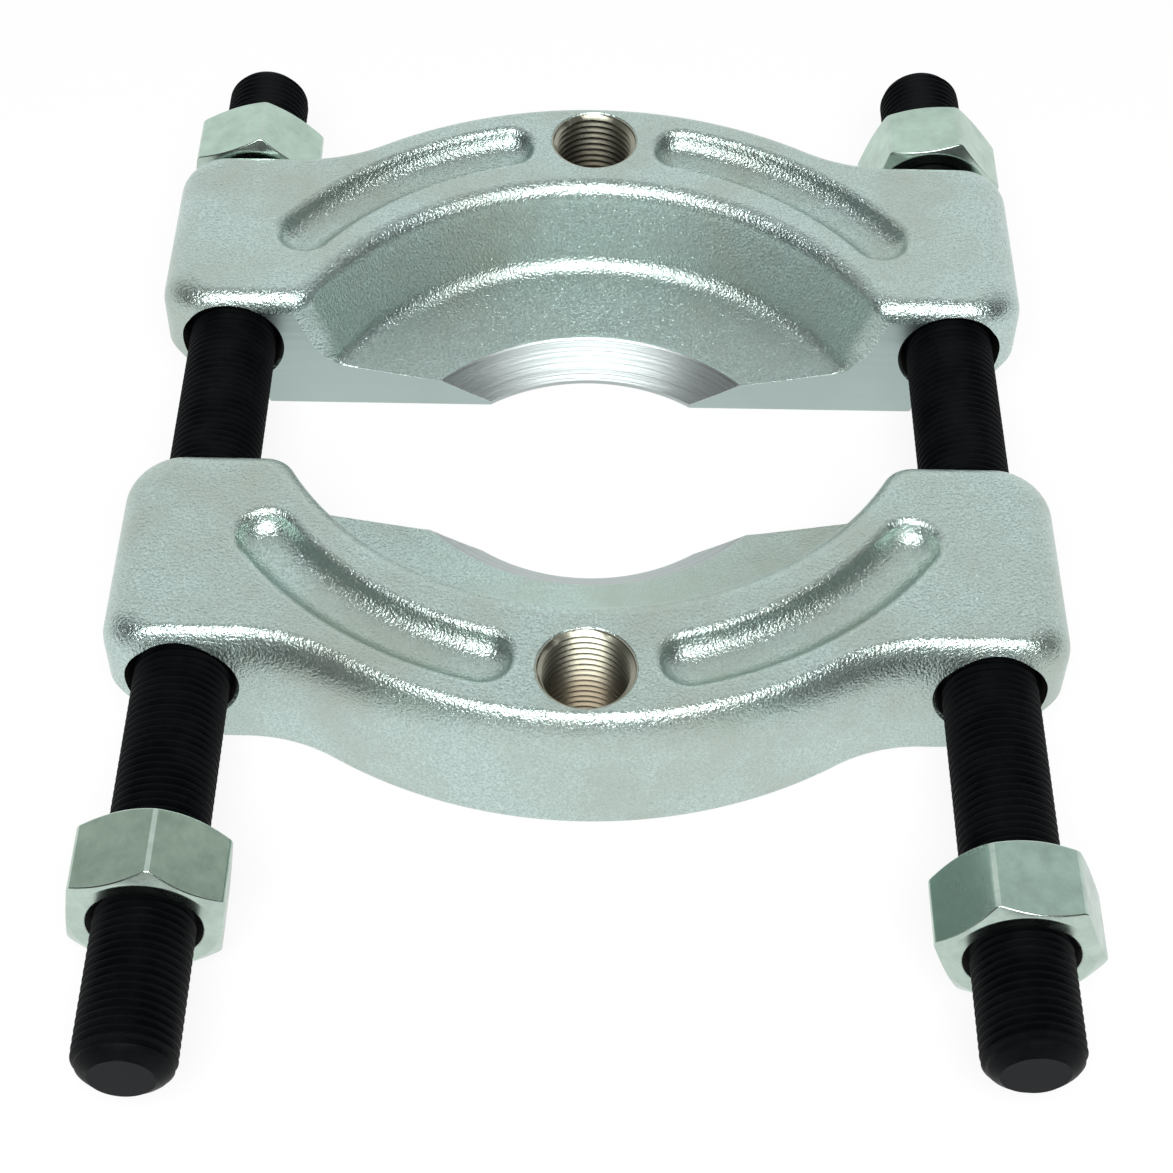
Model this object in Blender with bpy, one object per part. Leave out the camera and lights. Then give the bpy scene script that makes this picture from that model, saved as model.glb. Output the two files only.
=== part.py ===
# Bearing separator: two identical forged halves drawn together by two threaded rods.
# Lengths are in metres, angles in degrees. +Z is up, the rods run along Y.
# The origin is on the floor, half way between the rods and half way along the whole tool.
import math

import bmesh
import bpy

# Rods and their thread. The nuts and the puller holes share this thread size.
ROD_DIAMETER = 0.015875
ROD_LENGTH = 0.226
ROD_STAGGER = 0.003
ROD_END_CHAMFER = 0.0022
ROUND_SEGMENTS = 48

# The bowl of one half is turned about an upright axis that stands in front of the mating face.
# Depths are measured from the mating face at the middle, heights from the underside.
BOWL_AXIS = 0.026
KNIFE_DEPTH = 0.0061
KNIFE_LAND = 0.0017
CONE_DEPTH = 0.0123
CONE_HEIGHT = 0.0062
FLOOR_HEIGHT = 0.0101
FLOOR_FILLET = 0.0045
RIM_DEPTH = 0.0333
BOWL_WALL_LEAN = 0.0051
RIM_CORNER = 0.005
KNIFE_CORNER = 0.0004
# The corner where the bowl meets the mating face grows from the knife's to the rim's over this rise.
CORNER_RISE_START = -0.005
CORNER_RISE = 0.006

# Ears: a clearance bore for the rod with a wall of metal on each side of it.
BORE_CLEARANCE = 0.00125
ROD_SEAT_GAP = 0.0003
EAR_INNER_WALL = 0.0040
EAR_OUTER_WALL = 0.0037
EAR_TOP_WALL = 0.0022
EAR_BOTTOM_WALL = 0.0056
EAR_SETBACK = 0.0164
EAR_FRONT_CORNER = 0.008
EAR_BACK_CORNER = 0.007
EAR_TOP_ROUND = 0.007
EAR_UNDERSIDE_ROUND = 0.027
EAR_UNDERSIDE_SWEEP = 78.0

# Arch between the ears.
ARCH_WALL = 0.0253
ARCH_AXIS = 0.020
ARCH_FILLET = 0.028
EDGE_ROUND = 0.003
UNDERSIDE_EDGE = 0.0008

# Threaded puller hole and the two curved grooves in the top face, set back from the arch's outside.
HOLE_SETBACK = 0.0121
HOLE_CHAMFER = 0.0005
GROOVE_SETBACK = 0.0122
GROOVE_WIDTH = 0.0124
GROOVE_DEPTH = 0.0036
GROOVE_FLOOR_WIDTH = 0.0054
GROOVE_LIP = 0.0012
GROOVE_NEAR_ANGLE = 14.6
GROOVE_FAR_ANGLE = 54.0

# Nuts.
NUT_WALL = 0.00366
NUT_HEIGHT = 0.0139
NUT_FACE_RATIO = 0.95
NUT_CHAMFER_ANGLE = 30.0
NUT_COUNTERSINK = 0.0009
RUNNING_CLEARANCE = 0.0003

# Where the pieces sit along the rods, and how far each nut is turned.
HALF_GAP = 0.0375
FRONT_MATING_Y = -0.0003
FRONT_LEFT_GAP = 0.0323
FRONT_RIGHT_GAP = 0.0354
REAR_LEFT_GAP = 0.0003
REAR_RIGHT_GAP = 0.0029
FRONT_LEFT_TURN = 82.1
FRONT_RIGHT_TURN = 52.3
REAR_LEFT_TURN = 81.1
REAR_RIGHT_TURN = 9.7

# Values that follow from the ones above.
ROD_RADIUS = ROD_DIAMETER / 2.0
HOLE_RADIUS = ROD_RADIUS
NUT_BORE = ROD_RADIUS + RUNNING_CLEARANCE
NUT_FLATS = 2.0 * (NUT_BORE + NUT_WALL)
BORE_RADIUS = ROD_RADIUS + BORE_CLEARANCE
# The rods lie on the bottom of their clearance bores, so the bore axis is above the rod axis.
BORE_LIFT = BORE_CLEARANCE - ROD_SEAT_GAP
HALF_ABOVE_ROD = BORE_LIFT + BORE_RADIUS + EAR_TOP_WALL
HALF_BELOW_ROD = BORE_RADIUS - BORE_LIFT + EAR_BOTTOM_WALL
ROD_HEIGHT = HALF_BELOW_ROD
# The bowl's radii, its mouth at the mating face, and the ears beyond the mouth.
KNIFE_RADIUS = BOWL_AXIS + KNIFE_DEPTH
CONE_RADIUS = BOWL_AXIS + CONE_DEPTH
RIM_RADIUS = BOWL_AXIS + RIM_DEPTH
FLOOR_RADIUS = RIM_RADIUS - BOWL_WALL_LEAN
MOUTH_X = math.sqrt(RIM_RADIUS ** 2 - BOWL_AXIS ** 2)
ROD_X = MOUTH_X + EAR_INNER_WALL + BORE_RADIUS
HALF_SIDE = ROD_X + BORE_RADIUS + EAR_OUTER_WALL
ARCH_DEPTH = RIM_DEPTH + ARCH_WALL
ARCH_RADIUS = ARCH_AXIS + ARCH_DEPTH
EAR_LENGTH = ARCH_DEPTH - EAR_SETBACK
HOLE_DISTANCE = ARCH_DEPTH - HOLE_SETBACK
GROOVE_RADIUS = ARCH_RADIUS - GROOVE_SETBACK
REAR_MATING_Y = FRONT_MATING_Y + HALF_GAP
CUT_EXTRA = 0.002


def remove_everything():
    for item in list(bpy.context.scene.objects):
        bpy.data.objects.remove(item, do_unlink=True)


def make_material(name, colour, metallic, roughness):
    material = bpy.data.materials.new(name)
    material.use_nodes = True
    shader = material.node_tree.nodes["Principled BSDF"]
    shader.inputs["Base Color"].default_value = (*colour, 1.0)
    shader.inputs["Metallic"].default_value = metallic
    shader.inputs["Roughness"].default_value = roughness
    return material


def make_object(name, points, faces, origin=(0.0, 0.0, 0.0)):
    """Make an object from world points, with its origin at the given place."""
    local = [(p[0] - origin[0], p[1] - origin[1], p[2] - origin[2]) for p in points]
    mesh = bpy.data.meshes.new(name)
    mesh.from_pydata(local, [], faces)
    shape = bmesh.new()
    shape.from_mesh(mesh)
    bmesh.ops.recalc_face_normals(shape, faces=shape.faces[:])
    shape.to_mesh(mesh)
    shape.free()
    item = bpy.data.objects.new(name, mesh)
    item.location = origin
    bpy.context.scene.collection.objects.link(item)
    return item


def finish_piece(item, material):
    item.data.materials.append(material)
    item.data.shade_smooth()
    item.data.set_sharp_from_angle(angle=math.radians(30.0))


def stack_rings(rings):
    """Join equal closed rings of points into one closed skin with flat caps."""
    count = len(rings[0])
    points = [point for ring in rings for point in ring]
    faces = [tuple(reversed(range(count)))]
    for level in range(len(rings) - 1):
        for index in range(count):
            after = (index + 1) % count
            low = level * count
            high = low + count
            faces.append((low + index, low + after, high + after, high + index))
    faces.append(tuple(range(len(points) - count, len(points))))
    return points, faces


def arc_points(centre_x, centre_y, radius, start, end, steps):
    result = []
    for step in range(steps + 1):
        angle = start + (end - start) * step / steps
        result.append((centre_x + radius * math.cos(angle), centre_y + radius * math.sin(angle)))
    return result


def half_outline(bowl, corner, top_inset, under_inset, side_x):
    """Plan outline of a half at one height, for x from the middle to the ear and back."""
    face_y = top_inset
    back_y = EAR_LENGTH - top_inset - under_inset
    outer = ARCH_RADIUS - top_inset - under_inset
    fillet = ARCH_FILLET + top_inset + under_inset
    # Inner arc of the bowl, from the middle to the rounded corner at the mating face.
    corner_y = face_y + corner
    corner_x = math.sqrt((bowl + corner) ** 2 - (BOWL_AXIS + corner_y) ** 2)
    meet = math.atan2(corner_y + BOWL_AXIS, corner_x)
    points = arc_points(0.0, -BOWL_AXIS, bowl, math.pi / 2.0, meet, 18)
    points += arc_points(corner_x, corner_y, corner, meet - math.pi, -math.pi / 2.0, 4)[1:]
    # Ear: front corner, side, back corner.
    front = EAR_FRONT_CORNER - top_inset
    points += arc_points(side_x - front, face_y + front, front, -math.pi / 2.0, 0.0, 5)
    back = EAR_BACK_CORNER - top_inset
    points += arc_points(side_x - back, back_y - back, back, 0.0, math.pi / 2.0, 5)
    # Hollow fillet from the ear into the arch, then the arch to the middle.
    fillet_y = back_y + fillet
    fillet_x = math.sqrt((outer + fillet) ** 2 - (fillet_y + ARCH_AXIS) ** 2)
    lean = math.atan2(fillet_y + ARCH_AXIS, fillet_x)
    points += arc_points(fillet_x, fillet_y, fillet, -math.pi / 2.0, lean - math.pi, 6)
    points += arc_points(0.0, -ARCH_AXIS, outer, lean, math.pi / 2.0, 14)[1:]
    return points


def bowl_profile():
    """Radius and height of the bowl from the underside to the start of the rim rounding."""
    bottom = -HALF_BELOW_ROD
    cone_start = bottom + KNIFE_LAND
    cone_top = bottom + CONE_HEIGHT
    floor_top = bottom + FLOOR_HEIGHT
    rim_low = HALF_ABOVE_ROD - EDGE_ROUND
    run = FLOOR_RADIUS - CONE_RADIUS
    rise = floor_top - cone_top
    floor_lean = math.atan2(rise, run)
    wall_lean = math.atan2(HALF_ABOVE_ROD - floor_top, RIM_RADIUS - FLOOR_RADIUS)
    # Round the floor into the wall with a hollow fillet.
    half_turn = (wall_lean - floor_lean) / 2.0
    back_off = FLOOR_FILLET * math.tan(half_turn)
    start_r = FLOOR_RADIUS - back_off * math.cos(floor_lean)
    start_z = floor_top - back_off * math.sin(floor_lean)
    centre_r = start_r - FLOOR_FILLET * math.sin(floor_lean)
    centre_z = start_z + FLOOR_FILLET * math.cos(floor_lean)
    rounding = arc_points(
        centre_r,
        centre_z,
        FLOOR_FILLET,
        floor_lean - math.pi / 2.0,
        wall_lean - math.pi / 2.0,
        5,
    )
    side_low = HALF_ABOVE_ROD - EAR_TOP_ROUND
    profile = [(KNIFE_RADIUS, bottom)]
    profile.append((KNIFE_RADIUS, bottom + UNDERSIDE_EDGE))
    profile.append((KNIFE_RADIUS, cone_start))
    profile.append((CONE_RADIUS, cone_top))
    profile += rounding
    slope = (RIM_RADIUS - FLOOR_RADIUS) / (HALF_ABOVE_ROD - floor_top)
    for height in (side_low, (side_low + rim_low) / 2.0, rim_low):
        profile.append((RIM_RADIUS - slope * (HALF_ABOVE_ROD - height), height))
    return profile


def half_levels():
    """One entry for each height of a half: bowl, corner, insets, side and height."""
    levels = []
    for radius, height in bowl_profile():
        under = UNDERSIDE_EDGE if height <= -HALF_BELOW_ROD + 1e-7 else 0.0
        share = min(max((height - CORNER_RISE_START) / CORNER_RISE, 0.0), 1.0)
        corner = KNIFE_CORNER + (RIM_CORNER - KNIFE_CORNER) * share
        levels.append((radius, corner, 0.0, under, height))
    rim_low_radius = levels[-1][0]
    for step in range(1, 6):
        angle = math.radians(18.0 * step)
        inset = EDGE_ROUND * (1.0 - math.cos(angle))
        height = HALF_ABOVE_ROD - EDGE_ROUND * (1.0 - math.sin(angle))
        levels.append((rim_low_radius + inset, RIM_CORNER, inset, 0.0, height))
    return levels


def side_at(height):
    """Outer side of the ear, drawn in where the top outer edge is rounded."""
    above = height - (HALF_ABOVE_ROD - EAR_TOP_ROUND)
    if above <= 0.0:
        return HALF_SIDE
    drop = EAR_TOP_ROUND - math.sqrt(max(EAR_TOP_ROUND ** 2 - above ** 2, 0.0))
    return HALF_SIDE - drop


def half_skin():
    rings = []
    for bowl, corner, top_inset, under, height in half_levels():
        right = half_outline(bowl, corner, top_inset, under, side_at(height))
        left = [(-x, y) for x, y in reversed(right[1:-1])]
        rings.append([(x, y, height) for x, y in right + left])
    return stack_rings(rings)


def placed(points, mating_y, outward):
    """Put half points into the world. The front half is turned half a turn about Z."""
    return [(x * outward, mating_y + y * outward, ROD_HEIGHT + z) for x, y, z in points]


def groove_skin(side):
    """Cutter for one curved groove: a rounded lip at the top face, a narrow hollow floor."""
    top = HALF_ABOVE_ROD
    wide = GROOVE_WIDTH / 2.0
    narrow = GROOVE_FLOOR_WIDTH / 2.0
    levels = [
        (narrow * 0.8, top - GROOVE_DEPTH),
        (narrow, top - GROOVE_DEPTH * 0.94),
        (narrow + (wide - narrow) * 0.4, top - GROOVE_DEPTH * 0.66),
        (wide - GROOVE_LIP, top - GROOVE_LIP * 0.8),
        (wide - GROOVE_LIP * 0.3, top - GROOVE_LIP * 0.1),
        (wide, top),
        (wide, top + CUT_EXTRA),
    ]
    near = math.pi / 2.0 - math.radians(GROOVE_NEAR_ANGLE)
    far = math.pi / 2.0 - math.radians(GROOVE_FAR_ANGLE)
    rings = []
    for width, height in levels:
        line = arc_points(0.0, -ARCH_AXIS, GROOVE_RADIUS + width, near, far, 12)
        end_x = GROOVE_RADIUS * math.cos(far)
        end_y = GROOVE_RADIUS * math.sin(far) - ARCH_AXIS
        line += arc_points(end_x, end_y, width, far, far - math.pi, 8)[1:-1]
        line += arc_points(0.0, -ARCH_AXIS, GROOVE_RADIUS - width, far, near, 12)
        start_x = GROOVE_RADIUS * math.cos(near)
        start_y = GROOVE_RADIUS * math.sin(near) - ARCH_AXIS
        line += arc_points(start_x, start_y, width, near + math.pi, near, 8)[1:-1]
        rings.append([(x * side, y, height) for x, y in line])
    return stack_rings(rings)


def ear_bore_skin(side):
    profile = [(BORE_RADIUS, -CUT_EXTRA), (BORE_RADIUS, EAR_LENGTH + CUT_EXTRA)]
    points, faces = solid_turned(profile, ROUND_SEGMENTS)
    return [(x + side * ROD_X, y, z + BORE_LIFT) for x, y, z in points], faces


def solid_turned(profile, segments):
    """Turn a profile of (radius, along) points about the along axis, with a flat cap at each end."""
    rings = []
    for radius, along in profile:
        ring = []
        for step in range(segments):
            angle = 2.0 * math.pi * step / segments
            ring.append((radius * math.cos(angle), along, radius * math.sin(angle)))
        rings.append(ring)
    return stack_rings(rings)


def puller_hole_skin():
    top = HALF_ABOVE_ROD
    bottom = -HALF_BELOW_ROD
    wide = HOLE_RADIUS + HOLE_CHAMFER
    profile = [
        (wide, bottom - CUT_EXTRA),
        (wide, bottom),
        (HOLE_RADIUS, bottom + HOLE_CHAMFER),
        (HOLE_RADIUS, top - HOLE_CHAMFER),
        (wide, top),
        (wide, top + CUT_EXTRA),
    ]
    points, faces = solid_turned(profile, ROUND_SEGMENTS)
    return [(x, HOLE_DISTANCE - z, y) for x, y, z in points], faces


def ear_corner_skin(side):
    """Cutter that rounds the lower outer corner of an ear, seen along the rod."""
    far_x = HALF_SIDE + CUT_EXTRA
    low_z = -HALF_BELOW_ROD - CUT_EXTRA
    start_x = HALF_SIDE - EAR_UNDERSIDE_ROUND
    outline = [(start_x, low_z)]
    sweep = math.radians(EAR_UNDERSIDE_SWEEP)
    steps = 12
    for step in range(steps + 1):
        angle = sweep * step / steps
        x = start_x + EAR_UNDERSIDE_ROUND * math.sin(angle) / math.sin(sweep)
        outline.append((x, -HALF_BELOW_ROD * math.cos(angle)))
    outline.append((far_x, -HALF_BELOW_ROD * math.cos(sweep)))
    outline.append((far_x, low_z))
    near = [(side * x, -CUT_EXTRA, z) for x, z in outline]
    far = [(side * x, EAR_LENGTH + ARCH_FILLET, z) for x, z in outline]
    return stack_rings([near, far])


def cut(target, cutter):
    cutter.hide_render = True
    cutter.display_type = "WIRE"
    modifier = target.modifiers.new("cut " + cutter.name, "BOOLEAN")
    modifier.operation = "DIFFERENCE"
    modifier.solver = "EXACT"
    modifier.object = cutter


def make_half(name, mating_y, outward, material):
    origin = (0.0, mating_y, ROD_HEIGHT)
    points, faces = half_skin()
    half = make_object(name, placed(points, mating_y, outward), faces, origin)
    for side, word in ((-1, "a"), (1, "b")):
        for label, skin in (
            ("bore", ear_bore_skin(side)),
            ("groove", groove_skin(side)),
            ("corner", ear_corner_skin(side)),
        ):
            world = placed(skin[0], mating_y, outward)
            cut(half, make_object(f"cut_{name}_{label}_{word}", world, skin[1]))
    points, faces = puller_hole_skin()
    world = placed(points, mating_y, outward)
    cut(half, make_object(f"cut_{name}_hole", world, faces))
    finish_piece(half, material)
    return half


def make_rod(name, side, middle_y, material):
    end = ROD_LENGTH / 2.0
    face = ROD_RADIUS - ROD_END_CHAMFER * 0.9
    shoulder = ROD_RADIUS - ROD_END_CHAMFER * 0.3
    half_profile = [
        (face, -end),
        (shoulder, -end + ROD_END_CHAMFER * 0.45),
        (ROD_RADIUS, -end + ROD_END_CHAMFER),
    ]
    profile = half_profile + [(r, -y) for r, y in reversed(half_profile)]
    points, faces = solid_turned(profile, ROUND_SEGMENTS)
    origin = (side * ROD_X, middle_y, ROD_HEIGHT)
    world = [(x + origin[0], y + origin[1], z + origin[2]) for x, y, z in points]
    rod = make_object(name, world, faces, origin)
    finish_piece(rod, material)
    return rod


def nut_skin(turn):
    """Hexagon nut with both faces chamfered and a plain bore that runs on the rod."""
    segments = ROUND_SEGMENTS
    half = NUT_HEIGHT / 2.0
    face = NUT_FLATS / 2.0 * NUT_FACE_RATIO
    slope = math.tan(math.radians(NUT_CHAMFER_ANGLE))
    bore = NUT_BORE
    mouth = bore + NUT_COUNTERSINK
    points = []
    for step in range(segments):
        local = 2.0 * math.pi * step / segments
        off_flat = (local % (math.pi / 3.0)) - math.pi / 6.0
        side = NUT_FLATS / 2.0 / math.cos(off_flat)
        edge = half - (side - face) * slope
        column = [
            (bore, -half + NUT_COUNTERSINK),
            (mouth, -half),
            (face, -half),
            (side, -edge),
            (side, edge),
            (face, half),
            (mouth, half),
            (bore, half - NUT_COUNTERSINK),
        ]
        angle = local + math.radians(turn)
        for radius, along in column:
            points.append((radius * math.cos(angle), along, radius * math.sin(angle)))
    rows = len(column)
    faces = []
    for step in range(segments):
        here = step * rows
        there = ((step + 1) % segments) * rows
        for row in range(rows):
            after = (row + 1) % rows
            faces.append((here + row, here + after, there + after, there + row))
    return points, faces


def make_nut(name, side, centre_y, turn, material):
    points, faces = nut_skin(turn)
    origin = (side * ROD_X, centre_y, ROD_HEIGHT)
    world = [(x + origin[0], y + origin[1], z + origin[2]) for x, y, z in points]
    nut = make_object(name, world, faces, origin)
    finish_piece(nut, material)
    return nut


def build():
    remove_everything()
    forged = (0.62, 0.64, 0.63)
    make_half("rear_half", REAR_MATING_Y, 1, make_material("rear forged steel", forged, 1.0, 0.42))
    make_half("front_half", FRONT_MATING_Y, -1, make_material("front forged steel", forged, 1.0, 0.42))
    black = (0.02, 0.02, 0.022)
    make_rod("left_rod", -1, -ROD_STAGGER / 2.0, make_material("left black oxide", black, 0.6, 0.45))
    make_rod("right_rod", 1, ROD_STAGGER / 2.0, make_material("right black oxide", black, 0.6, 0.45))
    rear_face = REAR_MATING_Y + EAR_LENGTH
    front_face = FRONT_MATING_Y - EAR_LENGTH
    nut_half = NUT_HEIGHT / 2.0
    nuts = (
        ("rear_left_nut", -1, rear_face + REAR_LEFT_GAP + nut_half, REAR_LEFT_TURN),
        ("rear_right_nut", 1, rear_face + REAR_RIGHT_GAP + nut_half, REAR_RIGHT_TURN),
        ("front_left_nut", -1, front_face - FRONT_LEFT_GAP - nut_half, FRONT_LEFT_TURN),
        ("front_right_nut", 1, front_face - FRONT_RIGHT_GAP - nut_half, FRONT_RIGHT_TURN),
    )
    for name, side, centre_y, turn in nuts:
        zinc = make_material(name + " zinc", (0.70, 0.72, 0.64), 1.0, 0.35)
        make_nut(name, side, centre_y, turn, zinc)


build()
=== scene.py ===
# %% [markdown]
# A bearing separator. Two identical forged halves close behind a bearing or a gear, and two threaded rods
# with hexagon nuts draw them together. Their thin, tapered inner edges creep in behind the bearing, and a
# puller is screwed into the threaded hole at the crown of each half.
#
# The solid model of the tool is loaded first. It fixes every size and place. Each piece made below stands
# for one of its parts, rides on the same moving body, and adds what a plain solid can't show: rounded
# forged edges, cut threads, turning marks, and the grain of shot-blasted steel.

import math

import bmesh
import bpy
from mathutils import Matrix, Vector


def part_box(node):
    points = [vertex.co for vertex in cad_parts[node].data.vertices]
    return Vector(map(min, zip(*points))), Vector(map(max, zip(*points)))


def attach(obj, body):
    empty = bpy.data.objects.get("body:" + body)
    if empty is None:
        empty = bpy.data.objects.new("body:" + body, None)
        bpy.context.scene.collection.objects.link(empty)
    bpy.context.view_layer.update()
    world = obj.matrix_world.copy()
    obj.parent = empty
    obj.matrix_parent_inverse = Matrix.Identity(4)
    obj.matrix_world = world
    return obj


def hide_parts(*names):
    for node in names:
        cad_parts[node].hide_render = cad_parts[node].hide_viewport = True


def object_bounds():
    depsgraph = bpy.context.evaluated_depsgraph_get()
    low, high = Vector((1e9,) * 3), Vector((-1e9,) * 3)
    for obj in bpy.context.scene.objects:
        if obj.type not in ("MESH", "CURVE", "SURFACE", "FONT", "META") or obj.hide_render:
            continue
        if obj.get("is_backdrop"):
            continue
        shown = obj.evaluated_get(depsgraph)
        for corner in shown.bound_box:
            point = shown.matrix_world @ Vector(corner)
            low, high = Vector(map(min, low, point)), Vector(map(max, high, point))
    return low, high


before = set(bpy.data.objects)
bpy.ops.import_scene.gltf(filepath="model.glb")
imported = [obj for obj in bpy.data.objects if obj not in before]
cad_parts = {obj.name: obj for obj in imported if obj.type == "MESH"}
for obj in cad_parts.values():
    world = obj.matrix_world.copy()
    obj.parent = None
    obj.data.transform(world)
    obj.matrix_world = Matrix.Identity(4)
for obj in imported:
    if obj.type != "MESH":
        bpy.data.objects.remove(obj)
solid_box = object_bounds()
print("solid model box:", [[round(value * 1000, 2) for value in corner] for corner in solid_box])

# %% [markdown]
# All lengths are metres, so a millimetre is a factor. The driving sizes are those of the tool itself: a
# 5/8 inch rod with 18 threads to the inch sets the bores, the ears and the nuts, and the bowl sets the
# arch. Places along the rods are read from the loaded parts, so nothing here can drift away from the
# solids.

# %% Driving sizes of the tool
MM = 0.001
ROD_RADIUS = 7.9375 * MM
THREAD_PITCH = 25.4 / 18.0 * MM
THREAD_DEPTH = 0.80 * MM
BORE_RADIUS = ROD_RADIUS + 1.25 * MM
BORE_LIFT = 0.95 * MM
TOP = BORE_LIFT + BORE_RADIUS + 2.2 * MM
BELOW = BORE_RADIUS - BORE_LIFT + 5.6 * MM

BOWL_AXIS = 26.0 * MM
KNIFE_RADIUS = BOWL_AXIS + 6.1 * MM
KNIFE_LAND = 0.8 * MM
CONE_RADIUS = BOWL_AXIS + 12.3 * MM
CONE_HEIGHT = 6.2 * MM
RIM_RADIUS = BOWL_AXIS + 33.3 * MM
FLOOR_RADIUS = RIM_RADIUS - 5.1 * MM
FLOOR_HEIGHT = 10.1 * MM
FLOOR_FILLET = 4.5 * MM

MOUTH_X = math.sqrt(RIM_RADIUS**2 - BOWL_AXIS**2)
ROD_X = MOUTH_X + 4.0 * MM + BORE_RADIUS
SIDE_X = ROD_X + BORE_RADIUS + 3.7 * MM
ARCH_DEPTH = 33.3 * MM + 25.3 * MM
ARCH_AXIS = 20.0 * MM
ARCH_RADIUS = ARCH_AXIS + ARCH_DEPTH
ARCH_FILLET = 28.0 * MM
EAR_LENGTH = ARCH_DEPTH - 16.4 * MM
HOLE_DISTANCE = ARCH_DEPTH - 12.1 * MM
print("rods", round(2000 * ROD_X, 1), "mm apart, half", round(2000 * SIDE_X, 1), "mm wide")

# %% [markdown]
# The halves can slide and the rods stand a little staggered, so no place along them is typed in. The
# mating faces and the rods' height are read from the boxes of the solid parts.

# %% Where each half sits, read from the solids
ROD_Z = sum(corner[2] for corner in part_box("left_rod")) / 2.0
rear_low, rear_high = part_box("rear_half")
front_low, front_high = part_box("front_half")
REAR_FACE_Y = rear_low[1]
FRONT_FACE_Y = front_high[1]
print("mating faces at", round(REAR_FACE_Y * 1000, 2), "and", round(FRONT_FACE_Y * 1000, 2), "mm")

# %% [markdown]
# The camera comes next, so that every later piece can be judged against the photograph. It looks down at
# about fifty degrees from close by, which is why the near rod ends look so much bigger than the far ones.
# A camera is aimed best by building its three axes: one forward, one to the right, and one up.

# %% Camera
CAMERA_PLACE = Vector((-0.51 * MM, -285.5 * MM, 327.7 * MM))
CAMERA_PITCH = 0.869
CAMERA_YAW = -0.002
CAMERA_ROLL = 0.015
CAMERA_LENS = 74.15

forward = Vector(
    (
        math.sin(CAMERA_YAW) * math.cos(CAMERA_PITCH),
        math.cos(CAMERA_YAW) * math.cos(CAMERA_PITCH),
        -math.sin(CAMERA_PITCH),
    )
)
level_right = Vector((math.cos(CAMERA_YAW), -math.sin(CAMERA_YAW), 0.0))
level_up = level_right.cross(forward)
right = math.cos(CAMERA_ROLL) * level_right + math.sin(CAMERA_ROLL) * level_up
up = right.cross(forward)
camera_data = bpy.data.cameras.new("photo_camera")
camera_data.lens = CAMERA_LENS
camera_data.sensor_width = 36.0
camera_data.shift_x = 0.0045
camera_data.shift_y = 0.0028
camera_data.clip_start = 0.01
camera = bpy.data.objects.new("photo_camera", camera_data)
bpy.context.scene.collection.objects.link(camera)
camera_axes = Matrix((right, up, -forward)).transposed()
camera.matrix_world = Matrix.Translation(CAMERA_PLACE) @ camera_axes.to_4x4()
bpy.context.scene.camera = camera
print("camera looks down", round(math.degrees(CAMERA_PITCH), 1), "degrees")

# %% [markdown]
# Every piece is made from points and faces, so three small helpers save a lot of repetition: one that
# makes a mesh, one that stacks closed rings into a skin, and one that bakes the modifiers into the mesh.
# Baked meshes keep the script quick and give the same result wherever they go.

# %% Helpers for making pieces
def make_piece(name, points, faces):
    """Make an object from points and faces, with all faces turned outwards."""
    mesh = bpy.data.meshes.new(name)
    mesh.from_pydata(points, [], faces)
    shape = bmesh.new()
    shape.from_mesh(mesh)
    bmesh.ops.recalc_face_normals(shape, faces=shape.faces[:])
    shape.to_mesh(mesh)
    shape.free()
    piece = bpy.data.objects.new(name, mesh)
    bpy.context.scene.collection.objects.link(piece)
    return piece


def stack_rings(rings):
    """Join closed rings with equal counts into a skin that is capped at both ends."""
    count = len(rings[0])
    points = [point for ring in rings for point in ring]
    faces = [tuple(reversed(range(count)))]
    for level in range(len(rings) - 1):
        for index in range(count):
            after = (index + 1) % count
            low = level * count
            high = low + count
            faces.append((low + index, low + after, high + after, high + index))
    faces.append(tuple(range(len(points) - count, len(points))))
    return points, faces


def bake_modifiers(piece):
    """Replace a piece's mesh by what its modifiers make of it."""
    bpy.context.view_layer.update()
    evaluated = piece.evaluated_get(bpy.context.evaluated_depsgraph_get())
    baked = bpy.data.meshes.new_from_object(evaluated)
    piece.modifiers.clear()
    piece.data = baked


def arc_points(centre_x, centre_y, radius, start, end, steps):
    """Points along an arc, from one angle to another in equal steps."""
    result = []
    for step in range(steps + 1):
        angle = start + (end - start) * step / steps
        result.append((centre_x + radius * math.cos(angle), centre_y + radius * math.sin(angle)))
    return result


corner_test = arc_points(0.0, 0.0, 1.0, 0.0, math.pi / 2.0, 6)
print("a quarter round in 6 steps has", len(corner_test), "points")

# %% [markdown]
# A half is a drop forging: a curved arch with an ear at each end. Seen from above, its outline changes
# with height, because the bowl inside it widens towards the top and the edges are rounded. So the half is
# lofted: one outline per height, all with the same number of points, joined like the hoops of a barrel.
# This function gives the outline for one height, from the middle of the arch round one ear and back to
# the middle.

# %% Outline of a half at one height
EAR_FRONT_CORNER = 8.0 * MM
EAR_BACK_CORNER = 7.0 * MM
BOWL_STEPS = 56


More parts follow.
